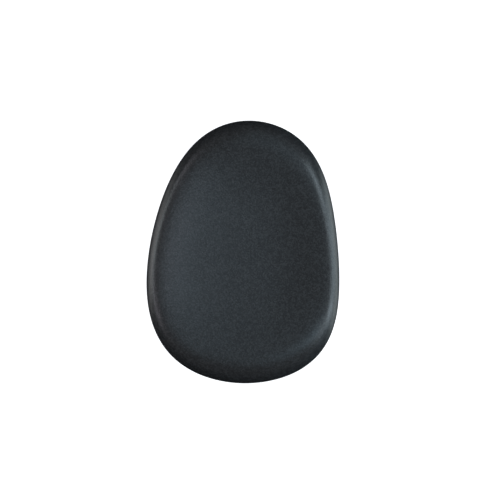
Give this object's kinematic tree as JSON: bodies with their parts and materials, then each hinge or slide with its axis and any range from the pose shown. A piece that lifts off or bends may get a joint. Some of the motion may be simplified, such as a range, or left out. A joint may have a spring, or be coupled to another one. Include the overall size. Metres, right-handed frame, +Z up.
{
  "type": "basalt massage stone",
  "caption": "Egg shaped dark basalt pebble for hot stone massage, honed smooth, with a nearly flat crown, rounded edge and a small flat to rest on.",
  "frame": {"origin": "centre of the stone's plan, on the surface that it lies on, so the resting flat is at z = 0", "axes": "+Z up through the crown, +Y towards the narrow nose, +X towards the fuller flank"},
  "size_m": [0.0602, 0.082, 0.019],
  "materials": {
    "basalt": "honed satin, fine grained"
  },
  "bodies": {
    "root": {"basalt_stone": "basalt"}
  },
  "joints": []
}
